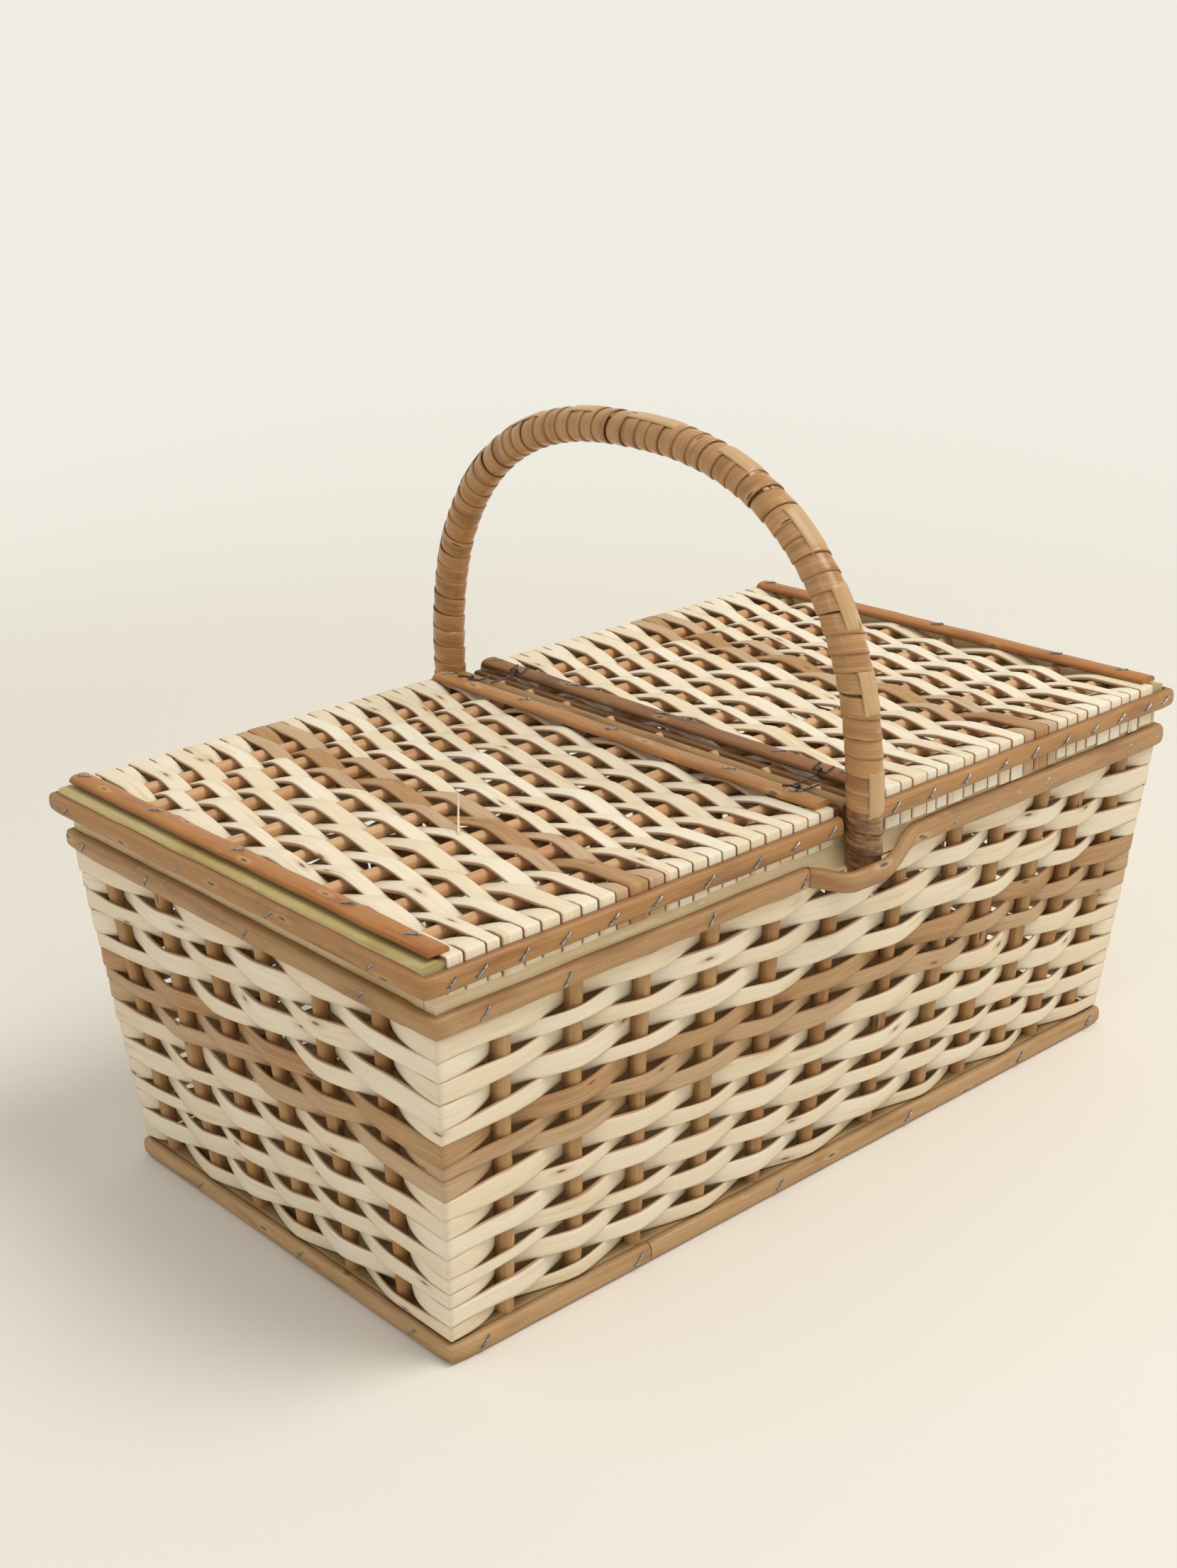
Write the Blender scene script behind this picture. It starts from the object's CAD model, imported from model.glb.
# %% [markdown]
# # A willow picnic basket, dressed
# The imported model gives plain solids: rods, rows of weaving, bands, lids and a handle. This
# lesson replaces them with willow that looks cut, soaked and woven by hand. Almost every piece
# of a basket is a long thing swept along a path, so one Geometry Nodes sweep does most of the
# work, and each piece is only a list of points.

import math
import random

import bpy
from mathutils import Matrix, Vector


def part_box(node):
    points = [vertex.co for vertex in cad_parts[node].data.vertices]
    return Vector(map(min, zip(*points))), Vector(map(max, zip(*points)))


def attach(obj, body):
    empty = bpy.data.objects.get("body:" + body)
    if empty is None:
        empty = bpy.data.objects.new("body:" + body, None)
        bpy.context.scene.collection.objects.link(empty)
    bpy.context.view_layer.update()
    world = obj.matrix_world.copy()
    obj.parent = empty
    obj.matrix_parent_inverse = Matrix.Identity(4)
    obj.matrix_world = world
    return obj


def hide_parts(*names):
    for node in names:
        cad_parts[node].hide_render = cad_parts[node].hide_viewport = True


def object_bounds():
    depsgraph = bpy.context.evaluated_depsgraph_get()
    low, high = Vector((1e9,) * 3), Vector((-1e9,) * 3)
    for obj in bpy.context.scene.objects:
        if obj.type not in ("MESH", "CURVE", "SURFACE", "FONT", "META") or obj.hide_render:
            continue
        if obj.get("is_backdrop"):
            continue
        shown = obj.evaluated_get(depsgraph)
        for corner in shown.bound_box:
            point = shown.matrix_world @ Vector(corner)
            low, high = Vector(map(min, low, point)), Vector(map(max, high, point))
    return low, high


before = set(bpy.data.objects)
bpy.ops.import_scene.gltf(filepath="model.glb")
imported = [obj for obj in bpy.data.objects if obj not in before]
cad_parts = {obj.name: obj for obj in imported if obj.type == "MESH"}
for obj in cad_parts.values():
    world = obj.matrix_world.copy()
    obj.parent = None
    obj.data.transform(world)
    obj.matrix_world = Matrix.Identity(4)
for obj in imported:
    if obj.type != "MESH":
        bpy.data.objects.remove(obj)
CAD_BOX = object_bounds()
MM = 0.001
X_AXIS, Y_AXIS, UP = Vector((1, 0, 0)), Vector((0, 1, 0)), Vector((0, 0, 1))
print("solids:", len(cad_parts), "overall:", [round(v, 4) for v in CAD_BOX[1] - CAD_BOX[0]])


# %% [markdown]
# ## Helpers for colours and nodes
# Colours are written as the sRGB hex values that a colour picker shows, and one function turns
# them to the linear values that a shader needs. Another adds any node with its settings and
# links, so that a tree reads from top to bottom, and three short ones save repeating the rest.

# %% Colours and nodes
def srgb(hex_value):
    channels = [int(hex_value[i : i + 2], 16) / 255 for i in (1, 3, 5)]
    linear = [c / 12.92 if c <= 0.04045 else ((c + 0.055) / 1.055) ** 2.4 for c in channels]
    return (*linear, 1.0)


def add(tree, kind, inputs=None, **settings):
    """Adds a node. inputs maps a socket's name or number to a value or to another node's output."""
    node = tree.nodes.new(kind)
    for name, value in settings.items():
        setattr(node, name, value)
    for key, value in (inputs or {}).items():
        if isinstance(value, bpy.types.Node):
            value = value.outputs[0]
        if isinstance(value, bpy.types.NodeSocket):
            tree.links.new(value, node.inputs[key])
        else:
            node.inputs[key].default_value = value
    return node


def calc(tree, operation, *values, clamp=False):
    inputs = dict(enumerate(values))
    return add(tree, "ShaderNodeMath", inputs, operation=operation, use_clamp=clamp)


def fade(tree, value, low, high, to_low=0.0, to_high=1.0):
    names = {"Value": value, "From Min": low, "From Max": high, "To Min": to_low, "To Max": to_high}
    return add(tree, "ShaderNodeMapRange", names, interpolation_type="SMOOTHSTEP")


def start_material(name):
    material = bpy.data.materials.new(name)
    material.use_nodes = True
    tree = material.node_tree
    return material, tree, tree.nodes["Principled BSDF"]


def new_object(name, data):
    made = bpy.data.objects.new(name, data)
    bpy.context.scene.collection.objects.link(made)
    return made


# %% [markdown]
# ## The camera
# The photograph's camera was worked out from the basket's own corners: it stands in front of the
# near left corner, a little over half a metre up, and looks down by about twenty degrees. The
# three directions of its frame are written into its matrix, so nothing depends on Blender's
# aiming tools.

# %% The camera
CAMERA_PLACE = Vector((-0.65375, -0.70874, 0.52436))
CAMERA_HEADING = math.radians(41.284)
CAMERA_DROP = math.radians(20.610)
CAMERA_ROLL = math.radians(-1.6194)
FOCAL_PIXELS = 3055.97
FRAME_HEIGHT = 2212
SENSOR = 36.0


def aim_camera():
    heading, drop = CAMERA_HEADING, CAMERA_DROP
    forward = Vector(
        (math.sin(heading) * math.cos(drop), math.cos(heading) * math.cos(drop), -math.sin(drop))
    )
    level_right = forward.cross(UP).normalized()
    level_up = level_right.cross(forward)
    right = math.cos(CAMERA_ROLL) * level_right + math.sin(CAMERA_ROLL) * level_up
    up = -math.sin(CAMERA_ROLL) * level_right + math.cos(CAMERA_ROLL) * level_up
    data = bpy.data.cameras.new("camera")
    data.sensor_width = SENSOR
    data.lens = FOCAL_PIXELS * SENSOR / FRAME_HEIGHT
    data.clip_start = 0.05
    data.clip_end = 20
    camera = new_object("camera", data)
    camera.matrix_world = Matrix.Translation(CAMERA_PLACE) @ Matrix(
        ((right.x, up.x, -forward.x), (right.y, up.y, -forward.y), (right.z, up.z, -forward.z))
    ).to_4x4()
    bpy.context.scene.camera = camera
    return data.lens


print("lens:", round(aim_camera(), 2), "mm")

# %% [markdown]
# ## Floor and light
# The basket stands on a pale cloth-like floor that runs up behind it as one sweep. The light is
# a wide soft lamp from the front and the right, so the long wall and the lids are bright and the
# short wall on the left is a tone darker. A weak lamp from the left and an even white sky fill
# the shadows. Far from the basket the floor gives way to one flat tone, as a lit backdrop does.

# %% Floor and light
FLOOR_COLOUR = "#EFEADF"
BACKDROP_COLOUR = "#F0EDE2"
FLOOR_REACH = 3.2
FLOOR_BEND = 0.9
BLEND_FROM, BLEND_TO = 0.55, 1.5
SKY_COLOUR, SKY_STRENGTH = "#FFFFFF", 0.62
KEY_COLOUR, KEY_POWER = "#FFFCF6", 29.0
KEY_SIZE = 1.4
KEY_PLACE = (0.55, -1.05, 2.2)
FILL_COLOUR, FILL_POWER = "#F8F9FF", 2.5
FILL_SIZE = 0.45
FILL_PLACE = (-1.9, -0.6, 1.2)


def build_floor():
    """A floor that bends up into a wall behind the basket, as seen by the camera."""
    away = Vector((math.sin(CAMERA_HEADING), math.cos(CAMERA_HEADING), 0))
    side = Vector((away.y, -away.x, 0))
    profile = [(-FLOOR_REACH, 0.0), (FLOOR_BEND, 0.0)]
    steps = 16
    for step in range(1, steps + 1):
        angle = math.pi / 2 * step / steps
        profile.append((FLOOR_BEND + math.sin(angle), 1 - math.cos(angle)))
    profile.append((FLOOR_BEND + 1, FLOOR_REACH))
    points, faces = [], []
    for across in (-FLOOR_REACH, FLOOR_REACH):
        for along, height in profile:
            points.append(away * along + side * across + Vector((0, 0, height)))
    row = len(profile)
    for i in range(row - 1):
        faces.append((i, row + i, row + i + 1, i + 1))
    mesh = bpy.data.meshes.new("floor")
    mesh.from_pydata(points, [], faces)
    mesh.shade_smooth()
    floor = new_object("floor", mesh)
    # Dull and slightly warm, with hardly any sheen, so that only the soft contact shadow shows.
    material, tree, shader = start_material("Matt off-white backdrop cloth")
    shader.inputs["Base Color"].default_value = srgb(FLOOR_COLOUR)
    shader.inputs["Roughness"].default_value = 0.9
    shader.inputs["Specular IOR Level"].default_value = 0.1
    place = add(tree, "ShaderNodeTexCoord").outputs["Object"]
    distance = add(tree, "ShaderNodeVectorMath", {0: place}, operation="LENGTH").outputs["Value"]
    far = fade(tree, distance, BLEND_FROM, BLEND_TO)
    rays = add(tree, "ShaderNodeLightPath").outputs
    seen = calc(tree, "ADD", rays["Is Camera Ray"], rays["Is Glossy Ray"], clamp=True)
    seen = calc(tree, "ADD", seen, rays["Is Transmission Ray"], clamp=True)
    glow = add(tree, "ShaderNodeEmission", {"Color": srgb(BACKDROP_COLOUR), "Strength": 1.0})
    blend = {0: calc(tree, "MULTIPLY", far, seen), 1: shader, 2: glow}
    blend = add(tree, "ShaderNodeMixShader", blend)
    tree.links.new(blend.outputs[0], tree.nodes["Material Output"].inputs["Surface"])
    mesh.materials.append(material)
    floor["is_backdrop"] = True


def area_light(name, place, size, power, colour):
    data = bpy.data.lights.new(name, "AREA")
    data.shape = "DISK"
    data.size = size
    data.energy = power
    data.color = srgb(colour)[:3]
    turn = (-Vector(place)).to_track_quat("-Z", "Y").to_matrix().to_4x4()
    new_object(name, data).matrix_world = Matrix.Translation(place) @ turn


def light_scene():
    area_light("key", KEY_PLACE, KEY_SIZE, KEY_POWER, KEY_COLOUR)
    area_light("fill", FILL_PLACE, FILL_SIZE, FILL_POWER, FILL_COLOUR)
    world = bpy.data.worlds.new("pale sky")
    world.use_nodes = True
    background = world.node_tree.nodes["Background"].inputs
    background["Color"].default_value = srgb(SKY_COLOUR)
    background["Strength"].default_value = SKY_STRENGTH
    bpy.context.scene.world = world
    bpy.context.scene.view_settings.view_transform = "Standard"


build_floor()
light_scene()


# %% [markdown]
# ## The sweep
# Willow strips, split rods and whole rods differ only in their section. The sweep takes routes
# (lines of points) and pulls a section along them. The section starts as a circle and is pressed
# to shape with two powers: small powers make it square, 1 leaves it round, and a back of zero
# makes it a half-round. Each point of a route carries a lean, the direction that the face of the
# strip looks, a swell that thickens or thins it, and a tone for its colour. The tree also keeps
# how far along and how far across the strip each spot is, so that grain can follow the strip.

# %% The sweep tree
SWEEP_INPUTS = (
    ("Routes", "NodeSocketGeometry", None),
    ("Half width", "NodeSocketFloat", 5 * MM),
    ("Front", "NodeSocketFloat", 0.7 * MM),
    ("Back", "NodeSocketFloat", 0.7 * MM),
    ("Edge power", "NodeSocketFloat", 0.6),
    ("Face power", "NodeSocketFloat", 0.4),
    ("Bow", "NodeSocketFloat", 0.0),
    ("Sides", "NodeSocketInt", 12),
    ("Unevenness", "NodeSocketFloat", 0.0),
    ("Uneven size", "NodeSocketFloat", 12 * MM),
    ("Seed", "NodeSocketInt", 1),
    ("Material", "NodeSocketMaterial", None),
)


def start_tree(name, inputs):
    """A Geometry Nodes tree with named inputs and one mesh as its output."""
    tree = bpy.data.node_groups.new(name, "GeometryNodeTree")
    for label, kind, value in inputs:
        socket = tree.interface.new_socket(label, in_out="INPUT", socket_type=kind)
        if value is not None:
            socket.default_value = value
    tree.interface.new_socket("Mesh", in_out="OUTPUT", socket_type="NodeSocketGeometry")
    return tree, tree.nodes.new("NodeGroupInput").outputs


def end_tree(tree, geometry, material):
    real = add(tree, "GeometryNodeRealizeInstances", {"Geometry": geometry})
    mesh = add(tree, "GeometryNodeSetMaterial", {"Geometry": real, "Material": material})
    add(tree, "NodeGroupOutput", {"Mesh": mesh})
    return tree


def named(tree, name, kind):
    return add(tree, "GeometryNodeInputNamedAttribute", {"Name": name}, data_type=kind).outputs[0]


def store(tree, geometry, name, kind, value):
    values = {"Geometry": geometry, "Name": name, "Value": value}
    return add(tree, "GeometryNodeStoreNamedAttribute", values, data_type=kind, domain="POINT")


def pressed(tree, value, power):
    """The value with its sign kept and its size raised to a power."""
    size = calc(tree, "POWER", calc(tree, "ABSOLUTE", value), power)
    return calc(tree, "MULTIPLY", size, calc(tree, "SIGN", value))


def sweep_section(tree, given):
    """A circle of the wanted sides, pressed to the strip's section."""
    size = {"Resolution": given["Sides"], "Radius": 1.0}
    circle = add(tree, "GeometryNodeCurvePrimitiveCircle", size)
    place = add(tree, "ShaderNodeSeparateXYZ", {0: add(tree, "GeometryNodeInputPosition")})
    across = pressed(tree, place.outputs["Y"], given["Edge power"])
    depth = pressed(tree, place.outputs["X"], given["Face power"])
    marked = store(tree, circle, "across", "FLOAT", across)
    front = calc(tree, "MULTIPLY", calc(tree, "MAXIMUM", depth, 0.0), given["Front"])
    back = calc(tree, "MULTIPLY", calc(tree, "MINIMUM", depth, 0.0), given["Back"])
    wide = calc(tree, "MULTIPLY", across, given["Half width"])
    bend = calc(tree, "MULTIPLY", calc(tree, "POWER", wide, 2.0), given["Bow"])
    thick = calc(tree, "SUBTRACT", calc(tree, "ADD", front, back), bend)
    spot = add(tree, "ShaderNodeCombineXYZ", {"X": thick, "Y": wide})
    return add(tree, "GeometryNodeSetPosition", {"Geometry": marked, "Position": spot})


def build_sweep_tree():
    tree, given = start_tree("Strip sweep", SWEEP_INPUTS)
    line = add(tree, "GeometryNodeMeshToCurve", {"Mesh": given["Routes"]})
    along = add(tree, "GeometryNodeSplineParameter").outputs["Length"]
    line = store(tree, line, "along", "FLOAT", along)
    which = add(tree, "GeometryNodeCurveOfPoint").outputs["Curve Index"]
    drawn = {"ID": which, "Seed": given["Seed"]}
    chance = add(tree, "FunctionNodeRandomValue", drawn, data_type="FLOAT")
    line = store(tree, line, "strip", "FLOAT", chance.outputs[1])
    lean = named(tree, "lean", "FLOAT_VECTOR")
    line = add(tree, "GeometryNodeSetCurveNormal", {"Curve": line, "Normal": lean}, mode="FREE")
    section = sweep_section(tree, given)
    swell = named(tree, "swell", "FLOAT")
    swept = {"Curve": line, "Profile Curve": section, "Scale": swell, "Fill Caps": True}
    mesh = add(tree, "GeometryNodeCurveToMesh", swept)
    scale = calc(tree, "DIVIDE", 1.0, given["Uneven size"])
    noise = add(tree, "ShaderNodeTexNoise", {"Scale": scale, "Detail": 2.0})
    lift = calc(tree, "MULTIPLY", calc(tree, "SUBTRACT", noise, 0.5), given["Unevenness"])
    normal = add(tree, "GeometryNodeInputNormal")
    push = add(tree, "ShaderNodeVectorMath", {0: normal, "Scale": lift}, operation="SCALE")
    mesh = add(tree, "GeometryNodeSetPosition", {"Geometry": mesh, "Offset": push})
    mesh = add(tree, "GeometryNodeSetShadeSmooth", {"Geometry": mesh, "Shade Smooth": True})
    return end_tree(tree, mesh, given["Material"])


SWEEP = build_sweep_tree()
print("sweep tree:", len(SWEEP.nodes), "nodes")

# %% [markdown]
# A route mesh holds only points and edges, with the lean, the swell and the tone as attributes.
# The modifier's inputs are set by their identifiers, the evaluated result becomes a plain mesh,
# and the modifier is gone before the piece is tied to its body.


# %% Routes to finished pieces
def route_mesh(name, routes):
    """Each route is a list of (place, lean, swell, tone)."""
    points, edges, leans, swells, tones = [], [], [], [], []
    for route in routes:
        first = len(points)
        for place, lean, swell, tone in route:
            points.append(place)
            leans.extend(lean)
            swells.append(swell)
            tones.append(tone)
        edges += [(i, i + 1) for i in range(first, len(points) - 1)]
    mesh = bpy.data.meshes.new(name)
    mesh.from_pydata(points, edges, [])
    mesh.attributes.new("lean", "FLOAT_VECTOR", "POINT").data.foreach_set("vector", leans)
    mesh.attributes.new("swell", "FLOAT", "POINT").data.foreach_set("value", swells)
    mesh.attributes.new("tone", "FLOAT", "POINT").data.foreach_set("value", tones)
    return mesh


def run_tree(name, mesh, tree, values):
    """Runs a tree on a mesh and returns the result as a plain object at the origin."""
    source = new_object(name + "_route", mesh)
    modifier = source.modifiers.new("tree", "NODES")
    modifier.node_group = tree
    for item in tree.interface.items_tree:
        if item.in_out == "INPUT" and item.name in values:
            modifier[item.identifier] = values[item.name]
    ready = source.evaluated_get(bpy.context.evaluated_depsgraph_get())
    plain = bpy.data.meshes.new_from_object(ready)
    plain.name = name
    bpy.data.objects.remove(source, do_unlink=True)
    return new_object(name, plain)


def sweep(name, routes, material, body, slot, instead_of=(), **section):
    """Sweeps routes into one piece, ties it to its body and lets it stand for its solids."""
    values = {"Material": material, "Seed": sum(map(ord, name))}
    values.update({key.replace("_", " ").capitalize(): value for key, value in section.items()})
    piece = run_tree(name, route_mesh(name, routes), SWEEP, values)
    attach(piece, body)
    if instead_of:
        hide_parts(*instead_of)
    TALLY[name] = len(piece.data.polygons)
    return piece


TALLY = {}


def round_section(radius, unevenness):
    """The section of a whole rod."""
    return dict(
        half_width=radius, front=radius, back=radius, edge_power=1.0, face_power=1.0, sides=14,
        unevenness=unevenness,
    )


def rail_section(half_width, half_thick, unevenness=0.0):
    """The section of a rail: a rectangle with its edges eased."""
    return dict(
        half_width=half_width, front=half_thick, back=half_thick, edge_power=0.25,
        face_power=0.25, sides=20, unevenness=unevenness,
    )


def facing_route(points):
    """Turns (place, width axis, swell, tone) into a route: a face looks square to run and width."""
    route = []
    for i, (place, width_axis, swell, tone) in enumerate(points):
        before, after = points[max(i - 1, 0)][0], points[min(i + 1, len(points) - 1)][0]
        run = (after - before).normalized()
        route.append((place, run.cross(width_axis).normalized(), swell, tone))
    return route


def clamped(share):
    return min(max(share, 0), 1)


def ease(share):
    """Goes from 0 to 1 with a flat start and a flat end."""
    return 0.5 - 0.5 * math.cos(math.pi * share)


def waves(seed, amplitude, lengths):
    """A smooth random line: a few sine waves with fixed random phases."""
    chance = random.Random(seed)
    parts = [(2 * math.pi / length, chance.uniform(0, 2 * math.pi)) for length in lengths]

    def line(s):
        return amplitude * sum(math.sin(rate * s + phase) for rate, phase in parts) / len(parts)

    return line


# %% [markdown]
# ## Willow materials
# The pale strips are *peeled white willow*: the rod is stripped of its bark, split and shaved
# flat. That leaves a satin cream face with fine fibre lines along it, a few tan stains, small
# knots, and a thin line of red-brown bark left on each edge. The brown strips are *buff willow*,
# boiled before it is peeled so that the bark's tannin dyes it. Both are one material, and the
# tone that each strip carries picks the colour.


# %% Shared shader pieces
def attribute(tree, name):
    node = add(tree, "ShaderNodeAttribute", attribute_name=name, attribute_type="GEOMETRY")
    return node.outputs["Fac"]


def mix(tree, factor, first, second, blend="MIX"):
    node = add(tree, "ShaderNodeMix", data_type="RGBA", blend_type=blend)
    for key, value in (("Factor", factor), ("A", first), ("B", second)):
        socket = next(s for s in node.inputs if s.name == key and s.enabled)
        if isinstance(value, bpy.types.Node):
            value = value.outputs[0]
        if isinstance(value, bpy.types.NodeSocket):
            tree.links.new(value, socket)
        else:
            socket.default_value = srgb(value) if isinstance(value, str) else value
    return next(s for s in node.outputs if s.enabled)


def strip_coordinates(tree, along_mm, across_count, shift=0.0):
    """A vector that runs with the strip: one unit each along_mm of its length."""
    along = calc(tree, "MULTIPLY", attribute(tree, "along"), 1 / (along_mm * MM))
    across = calc(tree, "MULTIPLY", attribute(tree, "across"), across_count)
    strip = calc(tree, "MULTIPLY_ADD", attribute(tree, "strip"), 61.0, shift)
    return add(tree, "ShaderNodeCombineXYZ", {"X": along, "Y": across, "Z": strip})


def noise_on(tree, vector, detail=2.0, roughness=0.5):
    values = {"Vector": vector, "Scale": 1.0, "Detail": detail, "Roughness": roughness}
    return add(tree, "ShaderNodeTexNoise", values).outputs[0]


def knots_on(tree, spacing_mm, missing, size):
    """Rare ovals as a dark heart and a wider halo; missing is the share of cells without one."""
    along = calc(tree, "MULTIPLY", attribute(tree, "along"), 1 / (spacing_mm * MM))
    strip = calc(tree, "MULTIPLY_ADD", attribute(tree, "strip"), 61.0, 3.0)
    across = calc(tree, "MULTIPLY_ADD", attribute(tree, "across"), 0.35, strip)
    vector = add(tree, "ShaderNodeCombineXYZ", {"X": along, "Y": across})
    values = {"Vector": vector, "Scale": 1.0, "Randomness": 1.0}
    cell = add(tree, "ShaderNodeTexVoronoi", values, voronoi_dimensions="2D").outputs
    rare = add(tree, "ShaderNodeSeparateColor", {0: cell["Color"]})
    rare = calc(tree, "GREATER_THAN", rare, missing)
    heart = fade(tree, cell["Distance"], size, size * 0.35)
    halo = fade(tree, cell["Distance"], size * 2.6, size)
    return calc(tree, "MULTIPLY", heart, rare), calc(tree, "MULTIPLY", halo, rare)


def dress(tree, shader, colour, roughness, height=None, strength=0.0, depth_mm=0.0):
    """Joins the colour and the roughness to the shader, and a bump where there is a height."""
    tree.links.new(colour, shader.inputs["Base Color"])
    tree.links.new(roughness.outputs[0], shader.inputs["Roughness"])
    if height is not None:
        values = {"Strength": strength, "Distance": depth_mm * MM, "Height": height}
        tree.links.new(add(tree, "ShaderNodeBump", values).outputs[0], shader.inputs["Normal"])


# %% Peeled and buff willow strips
FIBRE_LENGTH_MM = 26.0
FIBRES_ACROSS = 9.0


def willow_strip(name, pale, pale_deep, buff, buff_deep, edge):
    """Satin, fibrous and warm, with bark-brown edges; tone 0 is peeled, tone 1 boiled buff."""
    material, tree, shader = start_material(name)
    fibres = noise_on(tree, strip_coordinates(tree, FIBRE_LENGTH_MM, FIBRES_ACROSS), 4.0, 0.6)
    stain = noise_on(tree, strip_coordinates(tree, 55.0, 0.9, 7.0), 3.0)
    fine = fade(tree, fibres, 0.36, 0.66)
    white = mix(tree, fine, pale, pale_deep)
    white = mix(tree, fade(tree, stain, 0.56, 0.76, 0.0, 0.55), white, "#D8B983")
    brown = mix(tree, fine, buff, buff_deep)
    brown = mix(tree, fade(tree, stain, 0.5, 0.75, 0.0, 0.5), brown, "#8A5C34")
    colour = mix(tree, attribute(tree, "tone"), white, brown)
    shade = fade(tree, attribute(tree, "strip"), 0.0, 1.0, 0.0, 0.34)
    colour = mix(tree, shade, colour, mix(tree, 1.0, colour, "#E8D0A4", "MULTIPLY"))
    side = calc(tree, "ABSOLUTE", attribute(tree, "across"))
    wander = calc(tree, "MULTIPLY", calc(tree, "SUBTRACT", stain, 0.5), 0.25)
    ragged = calc(tree, "ADD", side, wander)
    colour = mix(tree, fade(tree, ragged, 0.86, 0.97, 0.0, 0.8), colour, edge)
    heart, halo = knots_on(tree, 46.0, 0.6, 0.07)
    colour = mix(tree, calc(tree, "MULTIPLY", halo, 0.35), colour, "#B98A55")
    colour = mix(tree, calc(tree, "MULTIPLY", heart, 0.85), colour, "#6E4626")
    height = calc(tree, "SUBTRACT", fibres, calc(tree, "MULTIPLY", heart, 0.8))
    dress(tree, shader, colour, fade(tree, fibres, 0.2, 0.8, 0.46, 0.62), height, 0.35, 0.25)
    return material


STRIP = willow_strip(
    "Peeled and buff willow strip", "#F5EBD5", "#ECDFC3", "#C0996B", "#AC8252", "#9C6A3E"
)
print("strip material:", len(STRIP.node_tree.nodes), "nodes")

# %% [markdown]
# The bands, the handle's winding and the rods are willow with its skin on or boiled to a deep
# brown. *Brown willow* keeps its bark: a waxy skin with fine lengthwise creases, darker streaks
# and knots with rings, rubbed lighter along the crown of the band. The whole rods are *buff*:
# smooth, evenly dyed and a little lighter. One function with a few colours makes them all.


# %% Bark, skein and rods
def bark(name, colours, roughness, crease=0.4, knot_every_mm=70.0, patches=0.5, aged=None):
    """Rod skin in four colours: base, light streaks, dark patches and worn spots. The roughness
    is a range, and where a strip's tone is 1 the skin is mottled with the aged colour."""
    material, tree, shader = start_material(name)
    base, light, dark, worn = colours.split()
    streaks = noise_on(tree, strip_coordinates(tree, 38.0, 7.0, 1.0), 4.0, 0.62)
    broad = noise_on(tree, strip_coordinates(tree, 48.0, 0.7, 5.0), 3.0)
    colour = mix(tree, fade(tree, streaks, 0.34, 0.68), base, light)
    colour = mix(tree, fade(tree, broad, 0.48, 0.72, 0.0, patches), colour, dark)
    shade = fade(tree, attribute(tree, "strip"), 0.0, 1.0, 0.0, 0.5)
    colour = mix(tree, shade, colour, mix(tree, 1.0, colour, "#D9B58A", "MULTIPLY"))
    rub = noise_on(tree, strip_coordinates(tree, 9.0, 2.0, 9.0), 3.0, 0.7)
    colour = mix(tree, fade(tree, rub, 0.6, 0.74, 0.0, 0.4), colour, worn)
    heart, halo = knots_on(tree, knot_every_mm, 0.4, 0.06)
    colour = mix(tree, calc(tree, "MULTIPLY", halo, 0.5), colour, worn)
    colour = mix(tree, calc(tree, "MULTIPLY", heart, 0.85), colour, "#4A2C16")
    side = calc(tree, "ABSOLUTE", attribute(tree, "across"))
    colour = mix(tree, fade(tree, side, 0.84, 0.97, 0.0, 0.55), colour, dark)
    if aged:
        blotch = calc(tree, "ADD", rub, calc(tree, "MULTIPLY", broad, 0.5))
        blotch = fade(tree, blotch, 0.6, 0.86, 0.35, 0.95)
        colour = mix(tree, calc(tree, "MULTIPLY", blotch, attribute(tree, "tone")), colour, aged)
    height = calc(tree, "ADD", streaks, calc(tree, "MULTIPLY", heart, 0.9))
    dress(tree, shader, colour, fade(tree, streaks, 0.25, 0.75, *roughness), height, crease, 0.35)
    return material


# Warm, waxy and streaked: the line that frames each lid.
LID_BAND = bark(
    "Brown willow band, waxy", "#A97842 #B98D57 #80532B #C79F6A", (0.4, 0.56), 0.5, 60.0, 0.7
)
# The same rod, dried and paled by the sun.
RIM_BAND = bark(
    "Brown willow band, sun-faded", "#B48E5E #C5A273 #906A3E #D0B286", (0.45, 0.62), 0.5, 60.0, 0.7
)
# The most orange rod, and the glossiest of the bands.
END_BAND = bark(
    "Brown willow band, orange", "#B67833 #C68D48 #86501F #D5A364", (0.32, 0.5), 0.5, 50.0
)
# Amber and even, with a soft shine.
LEFT_BAND = bark(
    "Brown willow band, amber", "#BF8A4C #CE9F63 #9A6837 #DDBA84", (0.34, 0.5), 0.5, 60.0
)
# Dark, dull and blotched, with deep creases.
RIGHT_BAND = bark(
    "Brown willow band, weathered", "#8E6238 #A57A4B #5F3E22 #B89265", (0.45, 0.65), 0.7, 45.0, 0.8
)
# A weathered brown face with little shine.
BAR = bark(
    "Split willow bar, weathered", "#98723F #AC8852 #6C4A28 #BD9A68", (0.45, 0.62), 0.6, 50.0, 0.8
)
# Smooth and bright, so the winding catches the light at each turn; mottled at its feet.
SKEIN = bark(
    "Varnished willow skein", "#B3844F #C39967 #8C6135 #CFAB76", (0.18, 0.3), 0.25, 60.0, 0.7,
    aged="#5A3A20",
)
# Paler than the winding, so that the lock pattern reads.
LEADER = bark("Pale willow skein", "#C7A474 #D2B285 #B58E5B #D9BF95", (0.3, 0.42), 0.25)
# Evenly dyed, dry and quiet between the strips.
ROD = bark("Buff willow rod", "#B18755 #C19A67 #926A3C #CBA877", (0.5, 0.66), 0.5, 90.0, 0.5)
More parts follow.
